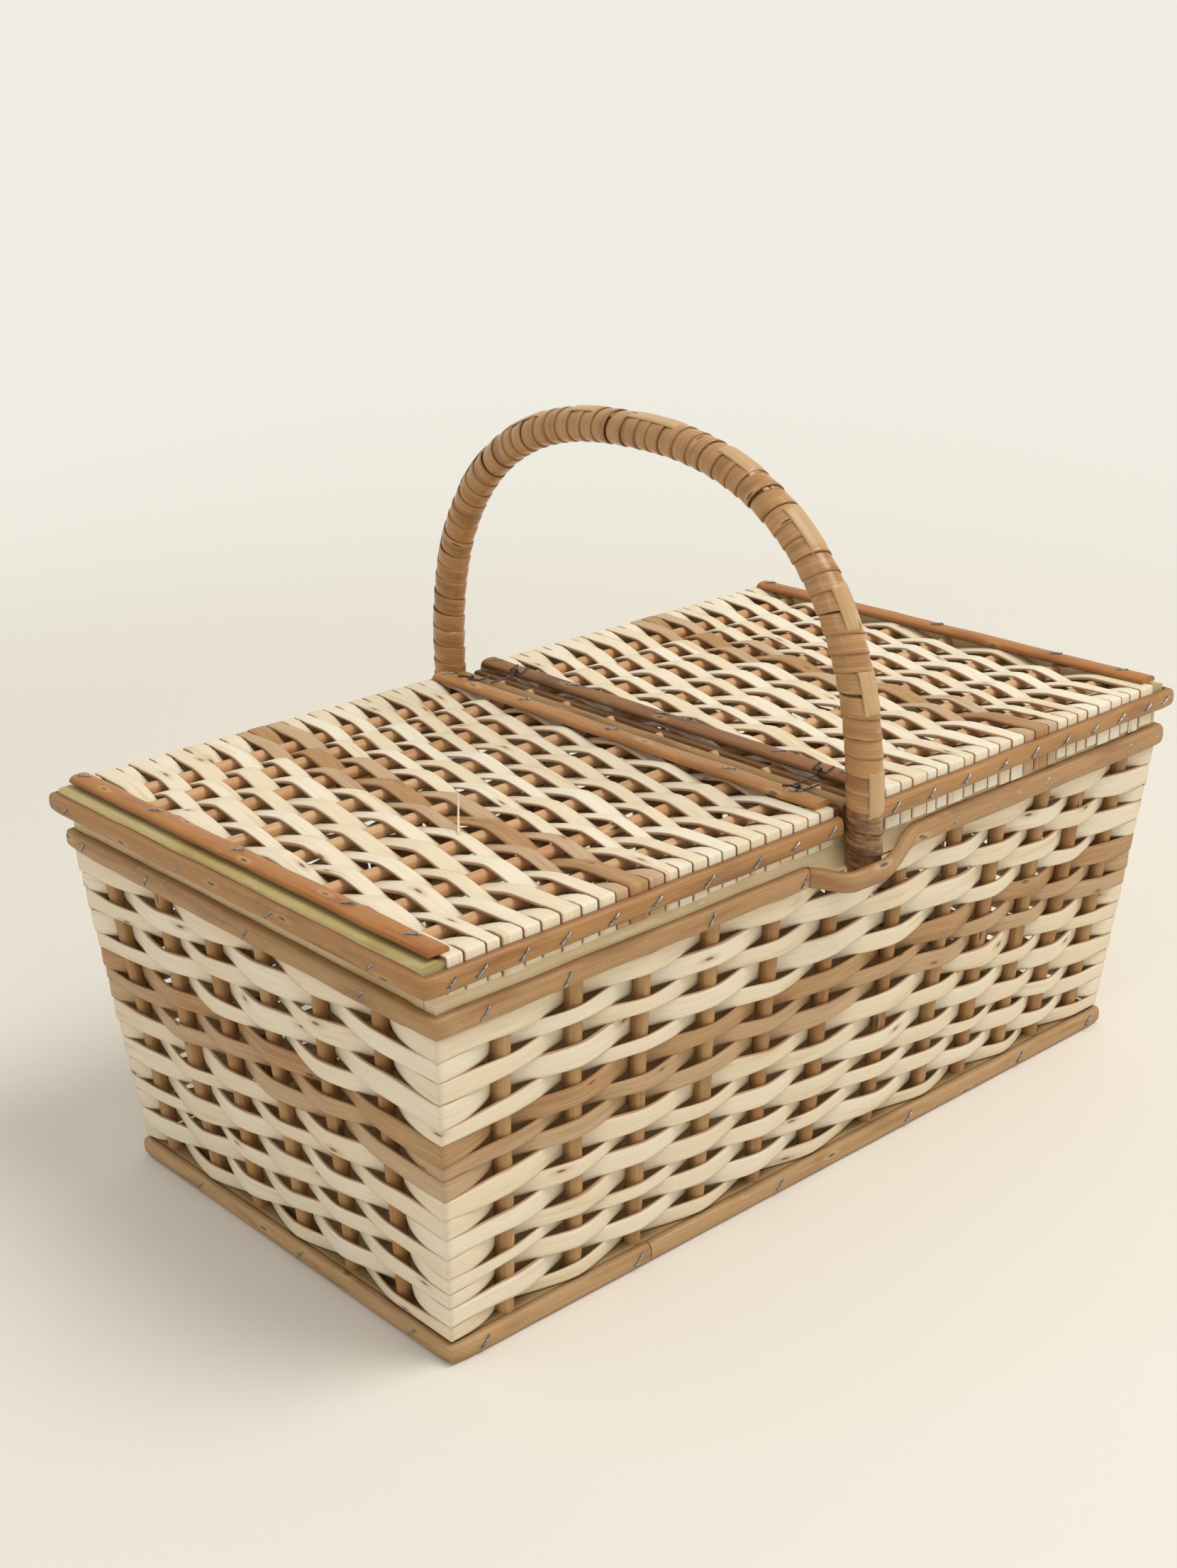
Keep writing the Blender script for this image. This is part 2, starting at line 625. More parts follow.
# Light and chalky, nearly as pale as the strips.
LID_ROD = bark(
    "Buff willow rod, light", "#D2A576 #DFB78B #BC8A57 #E8C9A0", (0.6, 0.78), 0.9, 90.0, 0.5
)
# Cream split wood with open grain and hardly a knot.
RAIL = bark("Split white wood rail", "#E6D5A8 #F0E2BE #C9B078 #F3E7C8", (0.6, 0.8), 0.9, 900.0, 0.6)
# Greenish split wood with darker patches and a few knots.
END_RAIL = bark(
    "Split green wood rail", "#CDB97C #DDCD9A #A9924F #EADFB8", (0.6, 0.8), 0.9, 90.0, 0.8
)
# Browner and duller, as wood near the ground gets.
BASE_RAIL = bark(
    "Split wood rail, dusty", "#A68D5F #B59D70 #84693F #C2AC80", (0.6, 0.8), 0.6, 900.0, 0.6
)
print("materials so far:", [material.name for material in bpy.data.materials])

# %% [markdown]
# ## The walls: stakes, rails and woven rows
# The stakes are whole rods that fan out with the walls. The weaving is one strip per row that
# goes over one stake and under the next, with the rows in step so that each stake shows in every
# other row. What makes it look woven and not ruled is that the lines between the rows wander, so
# that no strip keeps quite the same width, and that a strip lies close to each stake it passes:
# flat over the front of one, then down quickly behind the next, where it is a little wider.

# %% Sizes of the walls
RIM_HALF = (0.2222, 0.1292)
BASE_HALF = (0.2100, 0.1113)
RIM_LEVEL, BASE_LEVEL = 0.1663, 0.0096
STAKE_RADIUS = 3.4 * MM
STRIP_THICK = 1.4 * MM
WAVE = 4.55 * MM
LONG_STAKES = (
    -0.871, -0.697, -0.533, -0.352, -0.185, -0.014, 0.187, 0.362, 0.508, 0.656, 0.787, 0.935
)
END_STAKES = (-0.711, -0.384, -0.073, 0.240, 0.535, 0.885)
ROWS = 16
BUFF_ROWS = {6: 1.0, 7: 0.8, 8: 0.72}
WALLS = (
    ("front", X_AXIS, -Y_AXIS),
    ("right", Y_AXIS, X_AXIS),
    ("back", -X_AXIS, Y_AXIS),
    ("left", -Y_AXIS, -X_AXIS),
)


def stake_halves(level):
    share = (level - BASE_LEVEL) / (RIM_LEVEL - BASE_LEVEL)
    return [low + (high - low) * share for low, high in zip(BASE_HALF, RIM_HALF)]


def run_and_out(wall, halves):
    """Half sizes along a wall and out to it, from the half sizes in x and y."""
    return halves if wall % 2 == 0 else halves[::-1]


def wall_place(wall, share, offset, level):
    """A spot on a wall: share runs from -1 to 1 between the corners, offset is outward."""
    _, run, out = WALLS[wall]
    half_run, half_out = run_and_out(wall, stake_halves(level))
    return run * (share * half_run) + out * (half_out + offset) + UP * level


def wall_lean(wall):
    """The wall's width axis: up the slope of its stakes."""
    axis = 1 if wall % 2 == 0 else 0
    slope = (RIM_HALF[axis] - BASE_HALF[axis]) / (RIM_LEVEL - BASE_LEVEL)
    return (UP + WALLS[wall][2] * slope).normalized()


def wall_stakes(wall):
    """Shares of the stakes on a wall, in the direction in which the weaving runs."""
    shares = LONG_STAKES if wall % 2 == 0 else END_STAKES
    return list(shares) if wall < 2 else [-share for share in reversed(shares)]


print("stakes:", sum(len(wall_stakes(wall)) for wall in range(4)))


# %% Stakes and rails
STAKE_FOOT, STAKE_HEAD = 0.0035, 0.1635
STOUT_STAKES = {(0, 0): 1.22, (0, 1): 1.1, (0, 3): 1.12}
STAKE_STEPS, RAIL_STEPS = 16, 24


def stake_routes(wall):
    routes = []
    chance = random.Random(wall + 900)
    for number, share in enumerate(wall_stakes(wall)):
        bend = waves(wall * 31 + number, 0.9 * MM, (0.29, 0.11))
        girth = STOUT_STAKES.get((wall, number), chance.uniform(0.96, 1.12))
        route = []
        for step in range(STAKE_STEPS + 1):
            level = STAKE_FOOT + (STAKE_HEAD - STAKE_FOOT) * step / STAKE_STEPS
            place = wall_place(wall, share, 0, level) + WALLS[wall][1] * bend(level)
            swell = girth * (1 + 0.03 * math.sin(number * 2.1 + level * 60))
            route.append((place, WALLS[wall][2], swell, 0.0))
        routes.append(route)
    return routes


def rail_route(wall, level, halves, reach):
    """A straight rail along one wall at a level, reach longer than the wall at each end."""
    _, run, out = WALLS[wall]
    half_run, half_out = run_and_out(wall, halves)
    start = run * -(half_run + reach) + out * half_out + UP * level
    step_run = run * (2 * (half_run + reach) / RAIL_STEPS)
    return [(start + step_run * i, out, 1.0, 0.0) for i in range(RAIL_STEPS + 1)]


RAIL_HALF_THICK = 3.45 * MM
RAIL_GAP = 0.4 * MM
RIM_RAIL_LEVEL, RIM_RAIL_HALF = 0.16605, 9.5 * MM
BASE_RAIL_LEVEL, BASE_RAIL_HALF = 0.0054, 4.7 * MM
rim_rails, base_rails = [], []
for wall, (name, run, out) in enumerate(WALLS):
    sweep(
        f"stakes_{name}", stake_routes(wall), ROD, "basket", "willow_rod", [f"wall_frame_{name}"],
        **round_section(STAKE_RADIUS, 0.25 * MM),
    )
    reach = RAIL_HALF_THICK if wall % 2 == 0 else -RAIL_HALF_THICK - RAIL_GAP
    rim_rails.append(rail_route(wall, RIM_RAIL_LEVEL, RIM_HALF, reach))
    base_rails.append(rail_route(wall, BASE_RAIL_LEVEL, BASE_HALF, reach))
sweep(
    "rim_rails", rim_rails, RAIL, "basket", "green_wood",
    **rail_section(RIM_RAIL_HALF, RAIL_HALF_THICK, 0.3 * MM),
)
sweep(
    "base_rails", base_rails, BASE_RAIL, "basket", "green_wood",
    **rail_section(BASE_RAIL_HALF, RAIL_HALF_THICK),
)
print("faces:", TALLY)

# %% [markdown]
# Each row starts and ends behind a stake of the back wall, where a real weaver hides the join.
# The height of a row's edges comes from lines shared with its neighbours, so two strips meet
# along one wandering line. Each is drawn a twentieth wider than its share, and more where it
# dips behind a stake, so that no gap shows between them.

# %% Woven rows
ROW_EDGES = [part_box("weaver_row_01")[1].z]
for row in range(1, ROWS):
    above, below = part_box(f"weaver_row_{row:02d}"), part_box(f"weaver_row_{row + 1:02d}")
    ROW_EDGES.append((above[0].z + below[1].z) / 2)
ROW_EDGES.append(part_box(f"weaver_row_{ROWS:02d}")[0].z)
EDGE_WANDER = 1.7 * MM
RING_HALF = (0.2154, 0.1195)
RING_LENGTH = 4 * (RING_HALF[0] + RING_HALF[1])
RING_STARTS = (0.2154, 0.5503, 0.8852, 1.2201)
EDGE_WAVES = [RING_LENGTH / n for n in (5, 13, 21)]
EDGE_LINES = []
for edge in range(ROWS + 1):
    wander = EDGE_WANDER if 0 < edge < ROWS else 0.15 * MM
    EDGE_LINES.append(waves(100 + edge, wander, EDGE_WAVES))
WIDTH_MIDWAY, WIDTH_BEHIND = 1.05, 0.2
WAVE_STEPS = 12
MID_LEVEL = 0.08
FIRST_JOIN, JOIN_SPREAD = 22, 9
NOMINAL_HALF = 4.5 * MM


def strip_width(offset):
    """A strip's width against its share of the wall: wider behind a rod, at an offset of -1."""
    return WIDTH_MIDWAY + WIDTH_BEHIND * min(offset, 0.0) ** 2


# A cling of 1 is a straight zigzag; a larger one keeps the strip closer to what it passes.
WALL_CLING, CORNER_CLING, LID_CLING = 1.45, 2.8, 1.35


def strip_wave(part, rising, cling):
    """Goes from 0 to 1 as a stiff strip does: flat over a rod, then close behind the next."""
    return 1 - (1 - part) ** cling if rising else part**cling


def row_knots(row):
    """(wall, share, offset sign, is it a corner) all round, from the front left corner."""
    knots = []
    sign = 1 if row % 2 else -1
    for wall in range(4):
        knots.append((wall, -1.0, 1, True))
        for share in wall_stakes(wall):
            knots.append((wall, share, sign, False))
            sign = -sign
    return knots


def row_point(row, wall, share, offset, swell_by):
    """A point of a row: its height and its width come from the two edge lines."""
    spot = RING_STARTS[wall] + share * RING_HALF[wall % 2]
    top = ROW_EDGES[row - 1] + EDGE_LINES[row - 1](spot)
    bottom = ROW_EDGES[row] + EDGE_LINES[row](spot)
    place = wall_place(wall, share, offset, (top + bottom) / 2)
    return place, (top - bottom) / 2 / NOMINAL_HALF * swell_by


def row_route(row):
    """One lap of the basket, which starts and ends behind a stake of the back wall."""
    knots = row_knots(row)
    start = next(
        i for i, (wall, share, sign, corner) in enumerate(knots)
        if wall == 2 and sign < 0 and not corner and i >= FIRST_JOIN + row % JOIN_SPREAD
    )
    ring = knots[start:] + knots[: start + 1]
    points = []
    for (wall, share, sign, corner), (_, next_share, next_sign, next_corner) in zip(ring, ring[1:]):
        half_run = stake_halves(MID_LEVEL)[wall % 2]
        if corner:
            share = -1 - WAVE / half_run
        if next_corner:
            next_share = 1 + WAVE / half_run
        cling = CORNER_CLING if corner or next_corner else WALL_CLING
        for step in range(WAVE_STEPS):
            part = step / WAVE_STEPS
            offset = sign + (next_sign - sign) * strip_wave(part, next_sign > sign, cling)
            spot = share + (next_share - share) * part
            place, swell = row_point(row, wall, spot, offset * WAVE, strip_width(offset))
            points.append((place, wall_lean(wall), swell, BUFF_ROWS.get(row, 0.0)))
    return facing_route(points)


for row in range(1, ROWS + 1):
    sweep(
        f"woven_row_{row:02d}", [row_route(row)], STRIP, "basket",
        "brown_willow" if row in BUFF_ROWS else "pale_willow", [f"weaver_row_{row:02d}"],
        half_width=NOMINAL_HALF, front=STRIP_THICK / 2, back=STRIP_THICK / 2, unevenness=0.12 * MM,
    )
print("rows:", ROWS, "faces each about", TALLY["woven_row_01"])


# %% [markdown]
# ## Bands round the rim, the base and the lids
# The bands are rods split down the middle, bent round the basket with the round side out and
# stapled. A split rod is never quite straight or even, so its width and its line wander a
# little. At a corner the rod is nicked inside and folded, which leaves a crisp corner.


# %% Band routes
BAND_STEP = 6 * MM


def ring_route(corners, level, seed, wander=0.25 * MM, swell_wander=0.035, stout=None):
    """A route through corner points at a level, with the outward lean on the right-hand side."""
    bend = waves(seed, wander, (0.21, 0.083, 0.047))
    thick = waves(seed + 1, swell_wander, (0.17, 0.06, 0.031))
    route = []
    travelled = 0.0
    legs = list(zip(corners, corners[1:]))
    for number, (a, b) in enumerate(legs):
        a, b = Vector(a), Vector(b)
        run = (b - a).normalized()
        count = max(2, round((b - a).length / BAND_STEP))
        for i in range(count + (number == len(legs) - 1)):
            spot = a.lerp(b, i / count)
            lean = run.cross(UP)
            if i == 0 and number:
                last = (Vector(legs[number - 1][1]) - Vector(legs[number - 1][0])).normalized()
                lean = (lean + last.cross(UP)).normalized()
            height = level + bend(travelled + (spot - a).length)
            size = 1 + thick(travelled + (spot - a).length) + (stout(spot) if stout else 0.0)
            route.append((spot + UP * height, lean, size, 0.0))
        travelled += (b - a).length
    return route


SEAM_GAP = 0.6 * MM


def rectangle(half_x, half_y, seam_x):
    """Corner points round a rectangle, from a seam in the front and back to it."""
    edge = SEAM_GAP / 2
    corners = [(seam_x + edge, -half_y, 0)]
    for x, y in ((1, -1), (1, 1), (-1, 1), (-1, -1)):
        corners.append((x * half_x, y * half_y, 0))
    return corners + [(seam_x - edge, -half_y, 0)]


BAND_THICK = 3.85 * MM
BAND_HALF = 4.65 * MM
BASE_BAND_HALF = (0.2138, 0.1151)
RIM_BAND_HALF = (0.2260, 0.1330)
BAND_SECTION = dict(
    half_width=BAND_HALF, front=BAND_THICK, back=0.0, edge_power=0.8, face_power=0.62, sides=18,
    unevenness=0.3 * MM,
)
BASE_SEAM, BASE_BAND_LEVEL = -107.3 * MM, 0.0048
base_route = ring_route(rectangle(*BASE_BAND_HALF, BASE_SEAM), BASE_BAND_LEVEL, 11, 0.0, 0.02)
sweep(
    "base_band_rod", [base_route], RIM_BAND, "basket", "brown_band", ["base_band"], **BAND_SECTION
)
BULGE_START, BULGE_FULL, BULGE_EASE, BULGE_END = -27 * MM, -19 * MM, 1 * MM, 42 * MM
BULGE_OUT = 17.9 * MM
BULGE_STEPS = 22
RIM_SEAM = -27.8 * MM


def bulge(side, direction):
    """The rim band's swing round the outside of a handle foot: steep from the seam, then easy."""
    points = []
    for step in range(BULGE_STEPS + 1):
        x = BULGE_START + (BULGE_END - BULGE_START) * step / BULGE_STEPS
        if x < BULGE_EASE:
            lift = ease(min((x - BULGE_START) / (BULGE_FULL - BULGE_START), 1))
        else:
            left = (BULGE_END - x) / (BULGE_END - BULGE_EASE)
            lift = 0.6 * left + 0.4 * ease(left)
        points.append((direction * x, side * (RIM_BAND_HALF[1] + BULGE_OUT * lift), 0))
    return points


RIM_BAND_LEVEL = 0.1615
STOUTER = 0.2
STOUT_FROM, STOUT_OVER = 20 * MM, 60 * MM


def stout_on_the_right(spot):
    """The rod right of the handle is a thicker one than the rod left of it."""
    if abs(spot.y) <= 0.12:
        return 0.5 * STOUTER
    return STOUTER * ease(clamped((spot.x - STOUT_FROM) / STOUT_OVER))


ring = rectangle(*RIM_BAND_HALF, RIM_SEAM)
rim_line = ring[:1] + bulge(-1, 1) + ring[1:3] + bulge(1, -1) + ring[3:]
rim_route = ring_route(rim_line, RIM_BAND_LEVEL, 23, stout=stout_on_the_right)
sweep("rim_band_rod", [rim_route], RIM_BAND, "basket", "brown_band", ["rim_band"], **BAND_SECTION)
print("band faces:", TALLY["rim_band_rod"], TALLY["base_band_rod"])

# %% [markdown]
# ## The lids
# A lid is a frame of pale split wood with brown rods along it, and strips that go over and under
# the rods, fold down over the long rails and are trapped there by a stapled band. Two more bands
# lie on top, one at the outer end and one at the hinge.

# %% Sizes of the lids
LID_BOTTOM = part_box("lid_left_frame")[0].z
FRAME_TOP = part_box("lid_left_frame")[1].z
ROD_RADIUS = 3.0 * MM
ROD_Z = FRAME_TOP - 3.5 * MM
RAIL_INNER = 0.1284
ROD_SHARES = (-0.825, -0.590, -0.335, -0.047, 0.215, 0.470, 0.685, 0.856)
LID_THICK = 1.3 * MM
LID_WAVE = 3.95 * MM
LID_LIE = FRAME_TOP + 0.95 * MM
FOLD_Y = 0.13385
FOLD_END = {"left": 0.1725, "right": 0.1690}
FOLD_ROUND = 0.55 * MM
LID_STRIPS = 24
LID_NOMINAL = 3.9 * MM
STRIPS_START, STRIPS_END = 5.4 * MM, 0.2209
STRIP_GAP, FOLD_GAP = 0.02, 0.09
BROWN_STRIPS = {"left": {12: 0.75, 13: 1.0, 14: 0.8}, "right": {12: 0.8, 13: 1.0, 14: 0.7}}
HINGE_RAIL = {"left": 5.5 * MM, "right": 8.5 * MM}
SIDES = {"left": -1, "right": 1}


def lid_knots(strip, fold_end):
    """(y, z) of the places that a strip passes, from its front end to its back end."""
    cut = FOLD_ROUND * 0.3
    knots = [
        (-FOLD_Y, fold_end), (-FOLD_Y, LID_LIE - FOLD_ROUND), (-FOLD_Y + cut, LID_LIE - cut),
        (-FOLD_Y + FOLD_ROUND, LID_LIE), (-RAIL_INNER, LID_LIE),
    ]
    for rod, share in enumerate(ROD_SHARES):
        sign = 1 if (rod + strip) % 2 else -1
        knots.append((share * RAIL_INNER, ROD_Z + sign * LID_WAVE))
    knots.append((RAIL_INNER, LID_LIE))
    knots += [(-y, z) for y, z in reversed(knots[:4])]
    return knots


def lid_line(knots):
    """The knots joined with straight legs at the folds and smooth waves between the rods."""
    points = []
    for (y0, z0), (y1, z1) in zip(knots, knots[1:]):
        smooth = abs(y1 - y0) > 5 * MM
        steps = WAVE_STEPS if smooth else 2
        for step in range(steps):
            part = step / steps
            rise = strip_wave(part, z1 > z0, LID_CLING) if smooth else part
            points.append((y0 + (y1 - y0) * part, z0 + (z1 - z0) * rise))
    return points + [knots[-1]]


def lid_strip_routes(name):
    """The strips across one lid, of uneven width, each with a width line shared with the next."""
    side = SIDES[name]
    low, high = HINGE_RAIL[name] + STRIPS_START, STRIPS_END
    chance = random.Random(7 if name == "left" else 8)
    shares = [chance.uniform(0.8, 1.2) for strip in range(LID_STRIPS)]
    edges, lines = [low], []
    for share in shares:
        edges.append(edges[-1] + (high - low) * share / sum(shares))
    for k in range(LID_STRIPS + 1):
        wander = 0.75 * MM if 0 < k < LID_STRIPS else 0.1 * MM
        lines.append(waves(300 + side * 40 + k, wander, (0.13, 0.07)))
    routes = []
    for strip in range(LID_STRIPS):
        points = []
        tone = BROWN_STRIPS[name].get(strip, 0.0)
        for y, z in lid_line(lid_knots(strip, FOLD_END[name] + chance.uniform(-1.0, 1.0) * MM)):
            near, far = edges[strip] + lines[strip](y), edges[strip + 1] + lines[strip + 1](y)
            offset = (z - ROD_Z) / LID_WAVE if abs(y) < RAIL_INNER - 4 * MM else 0.0
            half = (far - near) / 2 * (strip_width(offset) - (STRIP_GAP if offset else FOLD_GAP))
            place = Vector((side * (near + far) / 2, y, z))
            points.append((place, -X_AXIS, half / LID_NOMINAL, tone))
        routes.append(facing_route(points))
    return routes


def straight(start, end, lean, seed=0, wander=0.0, steps=20, swell_wander=0.0):
    """A straight route with a slight wander sideways."""
    start, end = Vector(start), Vector(end)
    sideways = (end - start).normalized().cross(lean).normalized()
    bend = waves(seed, wander, (0.17, 0.06))
    thick = waves(seed + 5, swell_wander, (0.11, 0.05))
    length = (end - start).length
    route = []
    for i in range(steps + 1):
        s = length * i / steps
        route.append((start.lerp(end, i / steps) + sideways * bend(s), lean, 1 + thick(s), 0.0))
    return route


def mirrored(x, y, z, lean):
    """A straight rail across a lid, from -y to y."""
    return straight((x, -y, z), (x, y, z), lean)


LID_ROD_START, LID_ROD_END = {"left": 1.0 * MM, "right": -2.4 * MM}, 0.2262
END_RAIL_X, END_RAIL_Y = 0.2264, 0.1327
LONG_RAIL_START, LONG_RAIL_END, LONG_RAIL_Y = 4.6 * MM, 0.2214, 0.1307
SLIM_RAIL = rail_section(5.0 * MM, 2.1 * MM)
middle_z = (LID_BOTTOM + FRAME_TOP) / 2
for name, side in SIDES.items():
    body = f"lid_{name}"
    hinge = HINGE_RAIL[name]
    rods = []
    for number, share in enumerate(ROD_SHARES):
        start = (side * (hinge + LID_ROD_START[name]), share * RAIL_INNER, ROD_Z)
        end = (side * LID_ROD_END, share * RAIL_INNER, ROD_Z)
        rods.append(straight(start, end, UP, number + 60, 0.5 * MM, 24, 0.05))
    section = round_section(ROD_RADIUS, 0.2 * MM)
    sweep(f"{body}_rods", rods, LID_ROD, body, "willow_rod", **section)
    rails = [mirrored(side * END_RAIL_X, END_RAIL_Y, middle_z, side * X_AXIS)]
    sweep(
        f"{body}_end_rail", rails, END_RAIL, body, "green_wood", [f"{body}_frame"],
        **rail_section(5.4 * MM, 5.0 * MM, 0.35 * MM),
    )
    slim = []
    for y in (-LONG_RAIL_Y, LONG_RAIL_Y):
        start = (side * (hinge + LONG_RAIL_START), y, middle_z)
        slim.append(straight(start, (side * LONG_RAIL_END, y, middle_z), Y_AXIS))
    sweep(f"{body}_rails", slim, RAIL, body, "green_wood", **SLIM_RAIL)
    inner = [mirrored(side * (hinge + 2.5 * MM), 0.1324, middle_z, side * X_AXIS)]
    sweep(f"{body}_hinge_rail", inner, RIGHT_BAND, body, "brown_band", **SLIM_RAIL)
    sweep(
        f"{body}_woven_strips", lid_strip_routes(name), STRIP, body, "pale_willow",
        [f"{body}_strips"], half_width=LID_NOMINAL, front=LID_THICK / 2, back=LID_THICK / 2,
        unevenness=0.1 * MM,
    )

# %% [markdown]
# One fibre has split from a strip near the handle on the left lid. It lies low and gets thinner
# to its end, so it stays clear of the handle when the lid opens.

# %% A splinter
SPLINTER = (-0.1415, -0.0425, 0.1884), (-0.1185, -0.0135, 0.1924)
splinter = straight(*SPLINTER, UP, 71, 0.3 * MM, 8)
splinter = [(place, lean, 1.0 - 0.07 * i, 0.0) for i, (place, lean, _, _) in enumerate(splinter)]
sweep(
    "lid_left_splinter", [splinter], STRIP, "lid_left", "pale_willow",
    half_width=0.6 * MM, front=0.22 * MM, back=0.22 * MM,
)
print("lid faces:", TALLY["lid_left_woven_strips"], TALLY["lid_left_rods"])

# %% [markdown]
# A side band runs round three sides of each lid and traps the folded ends of the strips. The two
# bands on top are separate straight pieces.

# %% Bands of the lids
SIDE_BAND_HALF = (0.2314, 0.1349)
SIDE_BAND_LEVEL = 0.1802
SIDE_BAND_START = 4.3 * MM
SIDE_SECTION = {**BAND_SECTION, "half_width": 4.5 * MM, "front": 3.75 * MM}
TOP_SECTION = dict(
    half_width=5.3 * MM, front=3.0 * MM, back=0.0, edge_power=0.8, face_power=0.7, sides=18,
    unevenness=0.8 * MM, uneven_size=17 * MM,
)
TOP_BAND_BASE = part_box("lid_left_end_band")[0].z


def band_over(node, base, inset, seed, wander, swell_wander):
    """A straight route in y along the middle of a solid, a little shorter than it."""
    low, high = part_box(node)
    x = (low.x + high.x) / 2
    start, end = (x, low.y + inset, base), (x, high.y - inset, base)
    return straight(start, end, UP, seed, wander, 44, swell_wander)


for name, side in SIDES.items():
    body = f"lid_{name}"
    start = side * (HINGE_RAIL[name] + SIDE_BAND_START)
    end, y = side * SIDE_BAND_HALF[0], side * SIDE_BAND_HALF[1]
    line = [(start, -y, 0), (end, -y, 0), (end, y, 0), (start, y, 0)]
    route = ring_route(line, SIDE_BAND_LEVEL, 41 + side)
    solid = [f"{body}_side_band"]
    sweep(f"{body}_side_rod", [route], LID_BAND, body, "brown_band", solid, **SIDE_SECTION)
    hinge_band = LEFT_BAND if name == "left" else RIGHT_BAND
    for part, seed, material in (("end_band", 70, END_BAND), ("hinge_band", 80, hinge_band)):
        node = f"{body}_{part}"
        line = band_over(node, TOP_BAND_BASE, 0.3 * MM, seed + side, 0.25 * MM, 0.04)
        sweep(f"{node}_rod", [line], material, body, "brown_band", [node], **TOP_SECTION)

# %% [markdown]
# ## The crossbar
# Between the lids a stout split bar joins the two long walls beside the handle's feet.

# %% Crossbar
bar_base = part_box("centre_crossbar")[0].z + 0.1 * MM
bar = band_over("centre_crossbar", bar_base, 0.2 * MM, 91, 0.15 * MM, 0.01)
sweep(
    "centre_crossbar_rod", [bar], BAR, "basket", "brown_band", ["centre_crossbar"],
    half_width=4.4 * MM, front=12.1 * MM, back=0.0, edge_power=0.5, face_power=0.45, sides=22,
    unevenness=0.3 * MM,
)

# %% [markdown]
# ## The handle
# The handle is a thick rod bound with *skein*, a shaved flat strip wound on wet, each turn
# lapping the edge of the one before. A second, paler strip, the leader, lies along the outside
# of the arch and goes over a few turns and under a few, which is what locks the winding.

# %% Handle winding
CORE_RADIUS = 6.9 * MM
low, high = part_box("handle_core")
HALF_SPAN = (high.y - low.y) / 2 - CORE_RADIUS
HANDLE_TOP = high.z - CORE_RADIUS
SPRING = 0.187
FOOT = 0.1570
ROUNDNESS = 2.4
ARC_STEPS = 900


def handle_line(count=800):
    """Even points along the handle's middle from the front foot to the back foot."""
    raw = [Vector((0, -HALF_SPAN, FOOT))]
    for step in range(ARC_STEPS + 1):
        angle = math.pi * (1 - step / ARC_STEPS)
        across, up = math.cos(angle), max(math.sin(angle), 0.0)
        y = HALF_SPAN * math.copysign(abs(across) ** (2 / ROUNDNESS), across)
        raw.append(Vector((0, y, SPRING + (HANDLE_TOP - SPRING) * up ** (2 / ROUNDNESS))))
    raw.append(Vector((0, HALF_SPAN, FOOT)))
    lengths = [0.0]
    for a, b in zip(raw, raw[1:]):
        lengths.append(lengths[-1] + (b - a).length)
    points, leg = [], 0
    for i in range(count + 1):
        target = lengths[-1] * i / count
        while leg < len(raw) - 2 and lengths[leg + 1] < target:
            leg += 1
        share = (target - lengths[leg]) / max(lengths[leg + 1] - lengths[leg], 1e-9)
        points.append(raw[leg].lerp(raw[leg + 1], clamped(share)))
    return points, lengths[-1]


HANDLE_POINTS, HANDLE_LENGTH = handle_line()


def on_handle(s):
    """Middle, run and outward direction of the handle at a distance from its front foot."""
    last = len(HANDLE_POINTS) - 1
    place = clamped(s / HANDLE_LENGTH) * last
    below = min(int(place), last - 1)
    centre = HANDLE_POINTS[below].lerp(HANDLE_POINTS[below + 1], place - below)
    run = (HANDLE_POINTS[min(below + 6, last)] - HANDLE_POINTS[max(below - 5, 0)]).normalized()
    return centre, run, X_AXIS.cross(run)


WRAP_PITCH = 8.6 * MM
WRAP_HALF = 4.75 * MM
WRAP_MIDDLE = 7.55 * MM
WRAP_LAP = math.radians(4.5)
WRAP_STEPS = 26
DARK_FOOT, DARK_FADE = 34 * MM, 10 * MM
SKEIN_SECTION = dict(edge_power=0.5, face_power=0.35)


def wrap_route():
    turns = (HANDLE_LENGTH - 2 * WRAP_HALF) / WRAP_PITCH
    vary = waves(512, 1.9 * MM, (0.093, 0.049, 0.031))
    route = []
    for step in range(int(turns * WRAP_STEPS) + 1):
        angle = 2 * math.pi * step / WRAP_STEPS
        s = WRAP_HALF + WRAP_PITCH * step / WRAP_STEPS
        centre, run, out = on_handle(s + vary(s))
        aim = math.cos(angle) * X_AXIS + math.sin(angle) * out
        lean = (aim * math.cos(WRAP_LAP) + run * math.sin(WRAP_LAP)).normalized()
        foot = min(s, HANDLE_LENGTH - s)
        tone = ease(clamped((DARK_FOOT - foot) / DARK_FADE))
        route.append((centre + aim * WRAP_MIDDLE, lean, 1.0, tone))
    return route, turns


wrap, turns = wrap_route()
sweep(
    "handle_winding", [wrap], SKEIN, "basket", "handle_skein", ["handle_binding"],
    half_width=WRAP_HALF, front=0.45 * MM, back=0.45 * MM, sides=10, **SKEIN_SECTION,
)
LEADER_OVER, LEADER_UNDER = 8.2 * MM, 6.95 * MM
LEADER_HALF = 4.9 * MM
LEADER_SPANS_MM = (
    27, 50, 70, 92, 105, 128, 140, 165, 183, 206, 229, 262, 280, 300, 318, 346, 364, 392, 411, 440,
    458, 486, 504, 530, 553, 577,
)
LEADER_LAP, LEADER_INSET = 3.0 * MM, 4 * MM
LEADER_STEPS = 420


